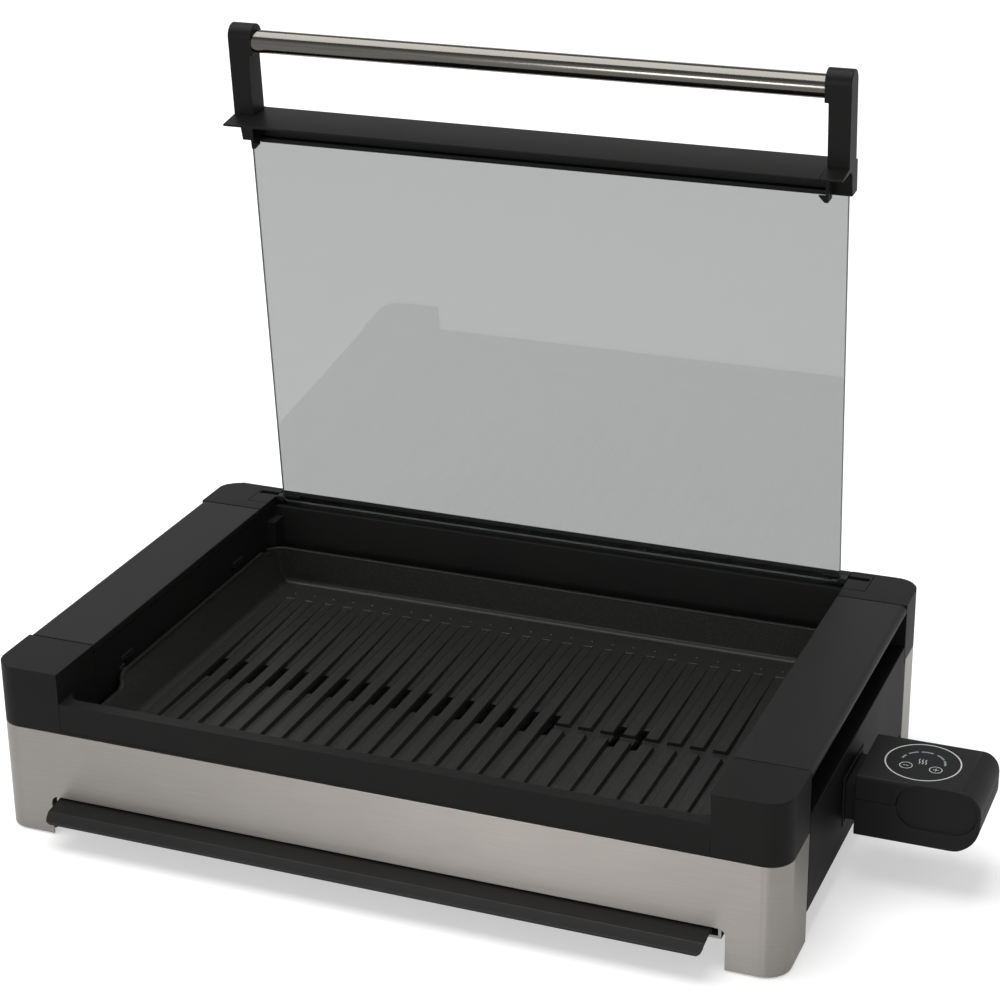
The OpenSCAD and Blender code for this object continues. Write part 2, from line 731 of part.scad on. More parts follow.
// ---------------------------------------------------------------- control unit
// side view: flat top and bottom, a small radius at the upper end and a large one at the lower end
module ctl_shape(inset) {
  top_c = [x_max - ctl_top_r, ctl_top - ctl_top_r];
  low_c = [x_max - ctl_low_r, ctl_low + ctl_low_r];
  translate([ctl_x0 + inset, ctl_low + inset])
    square([low_c[0] - ctl_x0 - inset, ctl_top - ctl_low - 2 * inset]);
  translate(low_c) square([ctl_low_r - inset, top_c[1] - low_c[1]]);
  translate([low_c[0] - 1, top_c[1] - 1]) square([top_c[0] - low_c[0] + 1, ctl_top_r - inset + 1]);
  translate(top_c) circle(r = ctl_top_r - inset);
  translate(low_c) circle(r = ctl_low_r - inset);
}

module grip_shape(gap) {
  translate([grip_x0, grip_z - grip_r - gap]) square([grip_x1 - grip_x0, 2 * grip_r + 2 * gap]);
  for (x = [grip_x0, grip_x1]) translate([x, grip_z]) circle(r = grip_r + gap);
}

module ctl_shell() {
  difference() {
    intersection() {
      along_y(ctl_y0, ctl_y1) ctl_shape(0);
      along_x(ctl_x0, x_max) rounded(ctl_y0, ctl_low, ctl_y1, ctl_top, ctl_edge);
      translate([0, 0, ctl_low]) linear_extrude(height = ctl_top - ctl_low)
        rounded(ctl_x0 - 3 * ctl_edge, ctl_y0, x_max, ctl_y1, ctl_edge);
    }
    along_y(ctl_y0 + ctl_wall + 1, ctl_y1 - ctl_wall - 1) ctl_shape(ctl_wall);
    along_y(ctl_y0 - 1, ctl_y0 + grip_deep) grip_shape(0);
    along_y(ctl_y1 - grip_deep, ctl_y1 + 1) grip_shape(0);
  }
}

// the two halves meet on the parting line, but both grips belong to the lower one
module ctl_split(gap) {
  box(ctl_x0 - 1, ctl_y0 - 1, ctl_low - 1, x_max + 1, ctl_y1 + 1, ctl_part + gap);
  along_y(ctl_y0 - 1, ctl_y0 + ctl_wall + 1) grip_shape(gap);
  along_y(ctl_y1 - ctl_wall - 1, ctl_y1 + 1) grip_shape(gap);
}

module nose_hole() {
  box(ctl_x0 - 1, ctl_y - nose_half, nose_low, ctl_x0 + 4, ctl_y + nose_half, nose_top);
}

touch_x = ctl_x0 + 34.6;
touch_y = ctl_y + 0.6;
touch_r = 23.2;
gland_x = ctl_flat_x - 8;
ctl_screws = [for (x = [ctl_x0 + 10, ctl_flat_x - 4]) for (y = [ctl_y - 20, ctl_y + 20]) [x, y]];

module control_upper() {
  color([0.14, 0.14, 0.14]) difference() {
    ctl_shell();
    ctl_split(0.12);
    translate([touch_x, touch_y, ctl_top - 1]) cylinder(r = touch_r + 0.1, h = 2);
    nose_hole();
  }
}

module control_lower() {
  color([0.13, 0.13, 0.13]) difference() {
    intersection() {
      ctl_shell();
      ctl_split(0);
    }
    nose_hole();
    translate([gland_x, ctl_y1 - 5, ctl_low + 7]) rotate([-90, 0, 0]) cylinder(r = 4, h = 8);
    for (p = ctl_screws) translate([p[0], p[1], ctl_low - 1]) cylinder(r = 1.5, h = 5);
  }
}

module touch_panel() {
  color([0.05, 0.05, 0.05]) translate([touch_x, touch_y, ctl_top - 1]) cylinder(r = touch_r, h = 1);
}

module plug_nose() {
  color([0.18, 0.18, 0.18]) difference() {
    box(238, ctl_y - nose_half, nose_low, ctl_x0 + 4, ctl_y + nose_half, nose_top);
    for (d = [-15, 15]) rod_x(230, ctl_x0 + 1, ctl_y + d, pin_z, sleeve_r + 0.6);
    box(230, ctl_y - 3.6, nose_top - 5.2, 256, ctl_y + 3.6, nose_top - 2.4);
    rod_x(230, ctl_x0 + 10, ctl_y, pin_z, probe_r + 0.05);
  }
}

module plug_sleeves() {
  color([0.75, 0.72, 0.55]) for (d = [-15, 15]) difference() {
    rod_x(238, ctl_x0 + 1, ctl_y + d, pin_z, sleeve_r + 0.6);
    rod_x(230, 262, ctl_y + d, pin_z, sleeve_r);
  }
}

module probe_rod() {
  color([0.7, 0.7, 0.7]) {
    rod_x(probe_tip, ctl_x0 + 4, ctl_y, pin_z, probe_r);
    translate([probe_tip, ctl_y, pin_z]) sphere(r = probe_r);
  }
}

module control_board() {
  color([0.1, 0.35, 0.2]) {
    box(ctl_x0 + 8, ctl_y - 24, ctl_top - 6.4, x_max - 10, ctl_y + 24, ctl_top - 4.8);
    box(ctl_x0 + 4, ctl_y - 14, pin_z + 5, ctl_x0 + 8, ctl_y + 14, ctl_top - 4.8);
    for (x = [ctl_x0 + 14, ctl_x0 + 54]) for (y = [ctl_y - 16, ctl_y + 16])
      translate([x, y, ctl_top - 4.8]) cylinder(r = 2, h = 2.6);
  }
}

module cord_gland() {
  color([0.09, 0.09, 0.09]) translate([gland_x, ctl_y1 - 3.2, ctl_low + 7])
    rotate([-90, 0, 0]) difference() {
      union() {
        cylinder(r = 4, h = 4);
        translate([0, 0, 3.2]) cylinder(r = 4.7, h = 7);
        translate([0, 0, -1.5]) cylinder(r = 4.7, h = 1.5);
      }
      translate([0, 0, -3]) cylinder(r = 2.6, h = 20);
    }
}

module control_screws() {
  color([0.5, 0.5, 0.5]) for (p = ctl_screws)
    translate([p[0], p[1], ctl_low - 0.6]) {
      cylinder(r = 2.4, h = 0.6);
      cylinder(r = 1.45, h = 6);
    }
}

// ---------------------------------------------------------------- lid
module lid_glass() {
  color([0.7, 0.75, 0.74, 0.4]) on_lid() along_y(-glass_off, -glass_off + glass_t)
    rounded(-glass_half, 0.3, glass_half, bar_low + 12.3, 3);
}

module glass_seal() {
  color([0.1, 0.1, 0.1]) on_lid() difference() {
    box(-post_in + 0.6, -glass_off - 1, bar_low + 1.8, post_in - 0.6, -glass_off + glass_t + 1, bar_low + 13.8);
    along_y(-glass_off, -glass_off + glass_t)
      rounded(-glass_half, 0.3, glass_half, bar_low + 12.3, 3);
  }
}

// section of the crossbar: first number is the distance in front of the glass face
module bar_section() {
  f = -glass_off;
  b = bar_low;
  t = flange_top;
  polygon([[f - 1, b], [f - 6.2, b], [f - 7, b + 0.8], [f - 7, b + 3.4], [f - 2.6, b + 3.4],
    [f - 2.6, t - 3.4], [f - 14, t - 2.6], [f - flange_out, t - 3], [f - flange_out, t - 1.5],
    [f - 14, t], [f + glass_t + 2, t], [f + glass_t + 2.6, t - 0.6], [f + glass_t + 2.6, b],
    [f + glass_t + 1, b], [f + glass_t + 1, b + 13.8], [f - 1, b + 13.8]]);
}

module lid_crossbar() {
  color([0.12, 0.12, 0.12]) on_lid() along_x(-post_in, post_in) bar_section();
}

module end_section() {
  f = -glass_off;
  b = bar_low;
  t = flange_top;
  difference() {
    union() {
      polygon([[f - 5.4, b], [f - 7.2, b + 10], [f - 7.2, t - 3], [f - flange_out, t - 3],
        [f - flange_out, t - 1.5], [f - 14, t], [f + glass_t + 2.6, t], [f + glass_t + 2.6, b]]);
      polygon([[f - 7, t - 9], [f - 16, t - 2.8], [f - 7, t - 2.8]]);
    }
    translate([f - 13.4, t - 9.2]) circle(r = 6.2);
  }
}

module post_section() {
  f = -glass_off;
  translate([f - post_front, flange_top - 1]) square([2 * post_r, post_top - flange_top + 1]);
  translate([f - post_c, post_top]) circle(r = post_r);
}

module collar_section() {
  f = -glass_off;
  intersection() {
    post_section();
    translate([f - post_front - 1, tube_up - tube_r - 0.8]) square([2 * post_r + 2, 40]);
  }
}

module bracket_half_part() {
  f = -glass_off;
  difference() {
    union() {
      along_x(post_in, bracket_half) end_section();
      along_x(post_in, bracket_half) post_section();
      along_x(post_in - 2.6, post_in + 1) collar_section();
      rod_x(post_in - 14, post_in, f - 6, tube_up, tube_r - 0.9);
      // rib with the centring hook beside the crossbar
      along_y(f - 17, f - 7) polygon([[post_in, flange_top - 2.8], [post_in, bar_low],
        [post_in + 0.3, bar_low - 1.4], [post_in + 2, bar_low - 1.4], [post_in + 2.6, flange_top - 2.8]]);
      along_y(f - 17, f - 14.4) polygon([[post_in - 4.6, bar_low + 3], [post_in - 0.6, bar_low - 1.4],
        [post_in + 1, bar_low - 1.4], [post_in + 1, bar_low + 3]]);
    }
    // room for the glass corner
    box(post_in - 1, f - 0.1, bar_low - 1, glass_half + 0.2, f + glass_t + 0.1, bar_low + 12.5);
    bracket_screw_ways();
  }
}

// two screws enter each bracket from the rear: one in the post, one in the foot
function screw_spots() = [[(flange_top + tube_up) / 2, -glass_off - post_rear],
  [bar_low + 17, -glass_off + glass_t + 2.6]];

module bracket_screw_ways() {
  for (p = screw_spots()) translate([post_in + 7, p[1] + 1, p[0]]) rotate([90, 0, 0])
    cylinder(r = 1.4, h = 8);
}

module handle_bracket_right() {
  color([0.12, 0.12, 0.12]) on_lid() bracket_half_part();
}

module handle_bracket_left() {
  color([0.12, 0.12, 0.12]) on_lid() mirror([1, 0, 0]) bracket_half_part();
}

module handle_tube() {
  color([0.7, 0.69, 0.67]) on_lid() difference() {
    rod_x(-post_in + 2.6, post_in - 2.6, -glass_off - 6, tube_up, tube_r);
    rod_x(-post_in, post_in, -glass_off - 6, tube_up, tube_r - 0.8);
  }
}

module shoe_half() {
  along_x(glass_half, glass_half + shoe_w) {
    circle(r = 3.4);
    translate([-glass_off, 0]) square([glass_off + 1.9, 3.4]);
  }
  box(glass_half - 12, -glass_off + glass_t, 0.6, glass_half + 1, 1.9, 3.4);
  rod_x(glass_half + shoe_w - 1, bar_in + 13.8, 0, 0, pin_r);
}

module hinge_shoe_right() {
  color([0.2, 0.2, 0.2]) on_lid() shoe_half();
}

module hinge_shoe_left() {
  color([0.2, 0.2, 0.2]) on_lid() mirror([1, 0, 0]) shoe_half();
}

module bracket_screws() {
  color([0.5, 0.5, 0.5]) on_lid() for (s = [-1, 1]) for (p = screw_spots())
    translate([s * (post_in + 7), p[1], p[0]]) rotate([90, 0, 0]) {
      translate([0, 0, -0.8]) cylinder(r = 2.8, h = 0.8);
      cylinder(r = 1.35, h = 6);
    }
}

// ---------------------------------------------------------------- all parts
translate([-org_x, -org_y, 0]) {
  steel_front();
  steel_rear();
  upper_frame();
  side_bar_left();
  side_bar_right();
  side_panel_left();
  side_panel_right();
  hinge_cover_left();
  hinge_cover_right();
  foot_pads();
  heat_shield();
  plate_posts();
  plate_guides();
  heating_element();
  element_straps();
  socket_housing();
  contact_pins();
  tray_runner_left();
  tray_runner_right();
  frame_screws();
  drip_tray();
  grill_plate();
  control_upper();
  control_lower();
  touch_panel();
  plug_nose();
  plug_sleeves();
  probe_rod();
  control_board();
  cord_gland();
  control_screws();
  lid_glass();
  glass_seal();
  lid_crossbar();
  handle_bracket_left();
  handle_bracket_right();
  handle_tube();
  hinge_shoe_left();
  hinge_shoe_right();
  bracket_screws();
}
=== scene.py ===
import bpy
import bmesh
import json
import math
from mathutils import Matrix, Vector


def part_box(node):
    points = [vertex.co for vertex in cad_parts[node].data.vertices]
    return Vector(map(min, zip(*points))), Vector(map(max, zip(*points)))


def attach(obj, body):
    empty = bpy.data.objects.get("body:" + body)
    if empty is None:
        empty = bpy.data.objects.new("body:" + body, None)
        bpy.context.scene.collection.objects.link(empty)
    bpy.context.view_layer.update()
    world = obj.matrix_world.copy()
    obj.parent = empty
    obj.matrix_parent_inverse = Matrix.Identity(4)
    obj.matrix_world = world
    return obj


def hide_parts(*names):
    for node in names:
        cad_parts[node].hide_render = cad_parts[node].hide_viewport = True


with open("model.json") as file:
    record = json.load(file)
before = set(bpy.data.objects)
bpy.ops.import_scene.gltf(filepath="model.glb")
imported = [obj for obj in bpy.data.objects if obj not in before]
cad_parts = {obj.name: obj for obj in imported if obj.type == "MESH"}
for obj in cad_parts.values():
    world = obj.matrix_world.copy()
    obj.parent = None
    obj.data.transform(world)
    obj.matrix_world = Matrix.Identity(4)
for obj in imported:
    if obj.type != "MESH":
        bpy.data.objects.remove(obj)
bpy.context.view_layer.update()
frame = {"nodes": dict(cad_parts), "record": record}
nodes = frame["nodes"]
scene = bpy.context.scene
print("frame loaded:", len(nodes), "nodes")


# #rrggbb as it is seen, turned into the linear values that shaders take
def linear(hexText):
    parts = [int(hexText[i:i + 2], 16) / 255 for i in (1, 3, 5)]
    return tuple(p / 12.92 if p <= 0.04045 else ((p + 0.055) / 1.055) ** 2.4 for p in parts) + (1.0,)


def addNode(tree, kind, settings=None, links=None):
    node = tree.nodes.new(kind)
    for key, value in (settings or {}).items():
        if isinstance(key, int) or key in node.inputs:
            node.inputs[key].default_value = value
        else:
            setattr(node, key, value)
    for key, (source, output) in (links or {}).items():
        tree.links.new(source.outputs[output], node.inputs[key])
    return node


def newMaterial(name):
    made = bpy.data.materials.new(name)
    made.use_nodes = True
    made.node_tree.nodes.clear()
    return made, made.node_tree


def finishMaterial(tree, shader):
    addNode(tree, "ShaderNodeOutputMaterial", links={"Surface": (shader, 0)})


def newObject(name, data):
    made = bpy.data.objects.new(name, data)
    scene.collection.objects.link(made)
    return made


# leaves the object with the mesh that its modifiers make, and without them
def applyModifiers(piece):
    made = bpy.data.meshes.new_from_object(piece.evaluated_get(bpy.context.evaluated_depsgraph_get()))
    piece.modifiers.clear()
    piece.data = made


def wear(piece, material):
    piece.data.materials.clear()
    piece.data.materials.append(material)


cameraSettings = {
    "place": (0.5276, -1.3590, 0.8223),
    "yaw": 21.845,      # degrees to the left of straight ahead
    "pitch": 22.740,    # degrees below the horizon
    "roll": -0.679,
    "lens": 90.85,
    "sensor": 36.0,
    "clip": (0.05, 50),
}


def makeCamera(s):
    data = bpy.data.cameras.new("camera")
    data.sensor_width = s["sensor"]
    data.lens = s["lens"]
    data.clip_start, data.clip_end = s["clip"]
    camera = newObject("camera", data)
    yaw, pitch, roll = (math.radians(s[k]) for k in ("yaw", "pitch", "roll"))
    ahead = Vector((-math.sin(yaw) * math.cos(pitch), math.cos(yaw) * math.cos(pitch), -math.sin(pitch)))
    right = Vector((math.cos(yaw), math.sin(yaw), 0))
    up = right.cross(ahead)
    rightRolled = right * math.cos(roll) + up * math.sin(roll)
    upRolled = up * math.cos(roll) - right * math.sin(roll)
    turned = Matrix((rightRolled, upRolled, -ahead)).transposed().to_4x4()
    camera.matrix_world = Matrix.Translation(s["place"]) @ turned
    scene.camera = camera


makeCamera(cameraSettings)
scene.view_settings.view_transform = "Standard"
print("camera set")


studioSettings = {
    "floorSize": 8.0,
    "floorColor": "#d8d8d8",
    "nearGlow": 0.5,                # the paper's glow, seen by the camera, by mirrors and through glass only
    "farGlow": 0.85,
    "glowReach": (0.5, 2.4),        # metres from the middle between which it grows
    "mirrorShare": 0.45,            # how much of that glow mirrors and glossy faces get
    "horizonLevel": 1.0,            # the backdrop is white at the horizon and greyer overhead
    "ceilingLevel": 0.35,
    "backdropTurn": (0.25, 0.55),   # sines of the elevations between which it turns grey
    "fillLevel": 0.32,              # what the world gives to dull surfaces
    "lamps": [
        # name, place, aimed at, size, watts
        ("softboxTop", (-0.35, 0.0, 2.1), (0, 0, 0.1), (2.0, 1.7), 48),
        ("softboxLeft", (-0.66, -2.4, 0.42), (0, 0, 0.1), (0.45, 0.7), 12),
        ("softboxRight", (0.42, -2.6, 0.5), (0, 0, 0.1), (0.16, 0.8), 7),
    ],
}


# 1 for rays that show the background: from the camera, off a mirror and through glass
def seenRays(tree, path):
    first = addNode(tree, "ShaderNodeMath", {"operation": "MAXIMUM"},
                    {0: (path, "Is Camera Ray"), 1: (path, "Is Glossy Ray")})
    return addNode(tree, "ShaderNodeMath", {"operation": "MAXIMUM"},
                   {0: (first, 0), 1: (path, "Is Transmission Ray")})


def makeWorld(s):
    world = bpy.data.worlds.new("studio")
    world.use_nodes = True
    tree = world.node_tree
    tree.nodes.clear()
    seen = seenRays(tree, addNode(tree, "ShaderNodeLightPath"))
    place = addNode(tree, "ShaderNodeTexCoord")
    height = addNode(tree, "ShaderNodeSeparateXYZ", links={0: (place, "Generated")})
    low, high = s["backdropTurn"]
    backdrop = addNode(tree, "ShaderNodeMapRange",
                       {"From Min": low, "From Max": high, "To Min": s["horizonLevel"],
                        "To Max": s["ceilingLevel"]}, {"Value": (height, "Z")})
    level = addNode(tree, "ShaderNodeMapRange", {"To Min": s["fillLevel"]},
                    {"Value": (seen, 0), "To Max": (backdrop, 0)})
    light = addNode(tree, "ShaderNodeBackground", {"Color": (1, 1, 1, 1)}, {"Strength": (level, 0)})
    addNode(tree, "ShaderNodeOutputWorld", links={"Surface": (light, 0)})
    scene.world = world


def makeFloor(s):
    half = s["floorSize"] / 2
    mesh = bpy.data.meshes.new("floor")
    corners = [(-half, -half, 0), (half, -half, 0), (half, half, 0), (-half, half, 0)]
    mesh.from_pydata(corners, [], [(0, 1, 2, 3)])
    floor = newObject("floor", mesh)
    # background paper: dull, so that it keeps the object's shadow and mirrors nothing
    paper, tree = newMaterial("matteBackgroundPaper")
    path = addNode(tree, "ShaderNodeLightPath")
    seen = seenRays(tree, path)
    place = addNode(tree, "ShaderNodeTexCoord")
    away = addNode(tree, "ShaderNodeVectorMath", {"operation": "LENGTH"}, {0: (place, "Object")})
    near, far = s["glowReach"]
    glow = addNode(tree, "ShaderNodeMapRange", {"From Min": near, "From Max": far, "To Min": s["nearGlow"],
                                                "To Max": s["farGlow"]}, {"Value": (away, "Value")})
    mirrored = addNode(tree, "ShaderNodeMath", {"operation": "SUBTRACT"},
                       {0: (path, "Is Glossy Ray"), 1: (path, "Is Transmission Ray")})
    share = addNode(tree, "ShaderNodeMapRange", {"To Min": 1.0, "To Max": s["mirrorShare"]},
                    {"Value": (mirrored, 0)})
    level = addNode(tree, "ShaderNodeMath", {"operation": "MULTIPLY"}, {0: (share, 0), 1: (glow, 0)})
    shown = addNode(tree, "ShaderNodeMath", {"operation": "MULTIPLY"}, {0: (seen, 0), 1: (level, 0)})
    shader = addNode(tree, "ShaderNodeBsdfPrincipled",
                     {"Base Color": linear(s["floorColor"]), "Roughness": 1.0, "Specular IOR Level": 0.0,
                      "Emission Color": (1, 1, 1, 1)}, {"Emission Strength": (shown, 0)})
    finishMaterial(tree, shader)
    wear(floor, paper)


def makeLamps(s):
    for name, place, aim, size, watts in s["lamps"]:
        data = bpy.data.lights.new(name, "AREA")
        data.shape = "RECTANGLE"
        data.size, data.size_y = size
        data.energy = watts
        lamp = newObject(name, data)
        lamp.location = place
        lamp.rotation_euler = (Vector(aim) - Vector(place)).to_track_quat("-Z", "Y").to_euler()


makeWorld(studioSettings)
makeFloor(studioSettings)
makeLamps(studioSettings)
print("studio lit")


# fine noise as bump; spacing is the size of a grain and depth its height, both in metres
def grain(tree, spacing, strength, depth, stretch=(1, 1, 1), detail=2.0):
    place = addNode(tree, "ShaderNodeTexCoord")
    scaled = addNode(tree, "ShaderNodeMapping", {"Scale": stretch}, {"Vector": (place, "Object")})
    noise = addNode(tree, "ShaderNodeTexNoise", {"Scale": 1 / spacing, "Detail": detail, "Roughness": 0.6},
                    {"Vector": (scaled, 0)})
    bump = addNode(tree, "ShaderNodeBump", {"Strength": strength, "Distance": depth}, {"Height": (noise, 0)})
    return noise, bump


# wide soft patches that mix two tones; perMetre is how many fit into a metre
def cloudedTone(tree, s, perMetre, detail):
    place = addNode(tree, "ShaderNodeTexCoord")
    cloud = addNode(tree, "ShaderNodeTexNoise", {"Scale": perMetre, "Detail": detail},
                    {"Vector": (place, "Object")})
    return cloud, mixedTone(tree, cloud, 0, s["dark"], s["light"])


def mixedTone(tree, source, output, first, second):
    return addNode(tree, "ShaderNodeMix", {"data_type": "RGBA", 6: linear(first), 7: linear(second)},
                   {0: (source, output)})


def roughnessAround(tree, source, middle, below, above):
    return addNode(tree, "ShaderNodeMapRange", {"To Min": middle - below, "To Max": middle + above},
                   {"Value": (source, 0)})


def brushedStainlessSteel(s):
    # 18/10 sheet, ground along its length: fine lines that run round the body and smear highlights upright
    made, tree = newMaterial("brushedStainlessSteel")
    noise, bump = grain(tree, s["lineSpacing"], s["lineStrength"], s["lineDepth"], s["lineStretch"],
                        detail=3.0)
    tone = cloudedTone(tree, s, s["cloudsPerMetre"], detail=2.0)[1]
    low, high = s["lineTone"]
    lines = addNode(tree, "ShaderNodeMapRange",
                    {"From Min": 0.3, "From Max": 0.7, "To Min": low, "To Max": high}, {"Value": (noise, 0)})
    colour = addNode(tree, "ShaderNodeVectorMath", {"operation": "SCALE"},
                     {0: (tone, 2), "Scale": (lines, 0)})
    rough = roughnessAround(tree, noise, s["roughness"], below=0.05, above=0.07)
    tangent = addNode(tree, "ShaderNodeTangent", {"direction_type": "RADIAL", "axis": "Z"})
    shader = addNode(tree, "ShaderNodeBsdfPrincipled",
                     {"Metallic": 1.0, "Anisotropic": 0.8, "Anisotropic Rotation": 0.25},
                     {"Base Color": (colour, 0), "Roughness": (rough, 0), "Normal": (bump, 0),
                      "Tangent": (tangent, 0)})
    finishMaterial(tree, shader)
    return made


def mouldedPlastic(name, s):
    # from a spark-eroded or polished mould: an even fine grain that greys the black where light grazes it
    # rubber, ink, enamel and ground glass have as even a surface, so they are made by it too
    made, tree = newMaterial(name)
    bump = grain(tree, s["grainSize"], s["grainStrength"], depth=0.00005)[1]
    cloud, tone = cloudedTone(tree, s, perMetre=22, detail=3.0)
    rough = roughnessAround(tree, cloud, s["roughness"], below=0.05, above=0.05)
    shader = addNode(tree, "ShaderNodeBsdfPrincipled", {"IOR": 1.53, "Specular IOR Level": s["gloss"]},
                     {"Base Color": (tone, 2), "Roughness": (rough, 0), "Normal": (bump, 0)})
    finishMaterial(tree, shader)
    return made


def nonStickCoating(s):
    # baked PTFE with mineral flecks on cast aluminium: dull black with a faint sparkle
    # fleckSpacing is in metres, and the two values of fleckRadius are shares of it
    made, tree = newMaterial("nonStickCoatedCasting")
    bump = grain(tree, s["grainSize"], s["grainStrength"], depth=0.00006)[1]
    place = addNode(tree, "ShaderNodeTexCoord")
    fleck = addNode(tree, "ShaderNodeTexVoronoi", {"feature": "F1", "Scale": 1 / s["fleckSpacing"]},
                    {"Vector": (place, "Object")})
    inner, outer = s["fleckRadius"]
    lit = addNode(tree, "ShaderNodeMapRange",
                  {"From Min": inner, "From Max": outer, "To Min": 1.0, "To Max": 0.0},
                  {"Value": (fleck, "Distance")})
    tone = mixedTone(tree, lit, 0, s["base"], s["fleck"])
    shader = addNode(tree, "ShaderNodeBsdfPrincipled",
                     {"Roughness": s["roughness"], "IOR": 1.4, "Specular IOR Level": s["gloss"]},
                     {"Base Color": (tone, 2), "Normal": (bump, 0)})
    finishMaterial(tree, shader)
    return made


def temperedGlass(s):
    # 4 mm float glass, toughened: a grey clear pane, faintly wavy, with a pale shadow
    made, tree = newMaterial("temperedFloatGlass")
    place = addNode(tree, "ShaderNodeTexCoord")
    ripple = addNode(tree, "ShaderNodeTexNoise", {"Scale": s["wavesPerMetre"], "Detail": 1.0},
                     {"Vector": (place, "Object")})
    bump = addNode(tree, "ShaderNodeBump", {"Strength": 0.04, "Distance": 0.0004}, {"Height": (ripple, 0)})
    shader = addNode(tree, "ShaderNodeBsdfPrincipled",
                     {"Base Color": linear(s["tint"]), "Roughness": 0.0, "IOR": 1.5,
                      "Transmission Weight": 1.0}, {"Normal": (bump, 0)})
    clear = addNode(tree, "ShaderNodeBsdfTransparent", {"Color": linear(s["shadow"])})
    path = addNode(tree, "ShaderNodeLightPath")
    mixed = addNode(tree, "ShaderNodeMixShader",
                    links={0: (path, "Is Shadow Ray"), 1: (shader, 0), 2: (clear, 0)})
    finishMaterial(tree, mixed)
    return made


def plainMetal(name, s):
    # rolled or drawn metal with its mill marks: cloudy tone and uneven sheen
    made, tree = newMaterial(name)
    noise, bump = grain(tree, s["grain"], strength=0.15, depth=0.00004, stretch=s.get("stretch", (1, 1, 1)))
    tone = mixedTone(tree, noise, 0, s["dark"], s["light"])
    rough = roughnessAround(tree, noise, s["roughness"], below=0.06, above=0.08)
    shader = addNode(tree, "ShaderNodeBsdfPrincipled", {"Metallic": s.get("metallic", 1.0)},
                     {"Base Color": (tone, 2), "Roughness": (rough, 0), "Normal": (bump, 0)})
    finishMaterial(tree, shader)
    return made


steel = brushedStainlessSteel({"dark": "#8f8b86", "light": "#9a9691", "roughness": 0.36,
                               "lineSpacing": 0.00035, "lineStrength": 0.22, "lineDepth": 0.00004,
                               "lineStretch": (0.012, 0.012, 1.0), "lineTone": (0.93, 1.05),
                               "cloudsPerMetre": 14})
bodyPlastic = mouldedPlastic("grainedPolyamideBlack",
                             {"dark": "#181818", "light": "#1d1d1c", "roughness": 0.5, "gloss": 0.07,
                              "grainSize": 0.0006, "grainStrength": 0.12})
panelPlastic = mouldedPlastic("mouldedPolyamideBlack",
                              {"dark": "#121212", "light": "#161616", "roughness": 0.5, "gloss": 0.05,
                               "grainSize": 0.0006, "grainStrength": 0.12})
barPlastic = mouldedPlastic("satinPolyamideBlack",
                            {"dark": "#191919", "light": "#1f1f1e", "roughness": 0.46, "gloss": 0.10,
                             "grainSize": 0.0006, "grainStrength": 0.08})
lidPlastic = mouldedPlastic("satinPhenolicBlack",
                            {"dark": "#151515", "light": "#1a1a19", "roughness": 0.42, "gloss": 0.07,
                             "grainSize": 0.0006, "grainStrength": 0.06})
controlPlastic = mouldedPlastic("softTouchPolycarbonateBlack",
                                {"dark": "#151515", "light": "#181818", "roughness": 0.55, "gloss": 0.13,
                                 "grainSize": 0.0005, "grainStrength": 0.06})
socketPlastic = mouldedPlastic("mouldedPhenolicResin",
                               {"dark": "#101010", "light": "#151515", "roughness": 0.6, "gloss": 0.2,
                                "grainSize": 0.0008, "grainStrength": 0.12})
padRubber = mouldedPlastic("siliconeRubberBlack",
                           {"dark": "#0e0e0e", "light": "#131313", "roughness": 0.8, "gloss": 0.15,
                            "grainSize": 0.0008, "grainStrength": 0.2})
panelGloss = mouldedPlastic("hardCoatedAcrylicBlack",
                            {"dark": "#0c0c0d", "light": "#0f0f10", "roughness": 0.3, "gloss": 0.10,
                             "grainSize": 0.002, "grainStrength": 0.01})
boardGreen = mouldedPlastic("solderMaskedEpoxyBoard",
                            {"dark": "#123d22", "light": "#17492a", "roughness": 0.4, "gloss": 0.4,
                             "grainSize": 0.002, "grainStrength": 0.05})
enamel = mouldedPlastic("vitreousEnamelBlack",
                        {"dark": "#151515", "light": "#1a1a1a", "roughness": 0.42, "gloss": 0.25,
                         "grainSize": 0.0016, "grainStrength": 0.1})
# the pane's ground edges: their own grey, darkened further as painted shade over the light that shows
# through them
groundEdgePaintedShade = mouldedPlastic("paintedShadeGroundEdge",
                            {"dark": "#39403e", "light": "#434b49", "roughness": 0.4, "gloss": 0.3,
                             "grainSize": 0.0004, "grainStrength": 0.1})
paleInk = mouldedPlastic("screenPrintedInkPale",
                         {"dark": "#b4b6b8", "light": "#bcbec0", "roughness": 0.6, "gloss": 0.1,
                          "grainSize": 0.0003, "grainStrength": 0.05})
greyInk = mouldedPlastic("screenPrintedInkGrey",
                         {"dark": "#7c8088", "light": "#848890", "roughness": 0.6, "gloss": 0.1,
                          "grainSize": 0.0003, "grainStrength": 0.05})
coating = nonStickCoating({"base": "#1e1e1d", "fleck": "#383836", "roughness": 0.37, "gloss": 0.34,
                           "grainSize": 0.0006, "grainStrength": 0.25, "fleckSpacing": 0.0012,
                           "fleckRadius": (0.16, 0.30)})
glass = temperedGlass({"tint": "#9c9e9d", "shadow": "#e8ebea", "wavesPerMetre": 9})
tubeSteel = plainMetal("polishedStainlessTube", {"dark": "#575551", "light": "#64625e", "roughness": 0.13,
                                                 "grain": 0.0005, "stretch": (0.01, 1, 1)})
sheetSteel = plainMetal("aluminisedSteelSheet", {"dark": "#8d8d8b", "light": "#a5a5a3", "roughness": 0.45,
                                                 "grain": 0.003})
springSteel = plainMetal("blackenedSpringSteel", {"dark": "#1d1d1d", "light": "#262626", "roughness": 0.5,
                                                  "grain": 0.002, "metallic": 0.6})
elementSteel = plainMetal("oxidisedElementSheath", {"dark": "#3a3733", "light": "#4d4843", "roughness": 0.55,
                                                    "grain": 0.002, "metallic": 0.8})
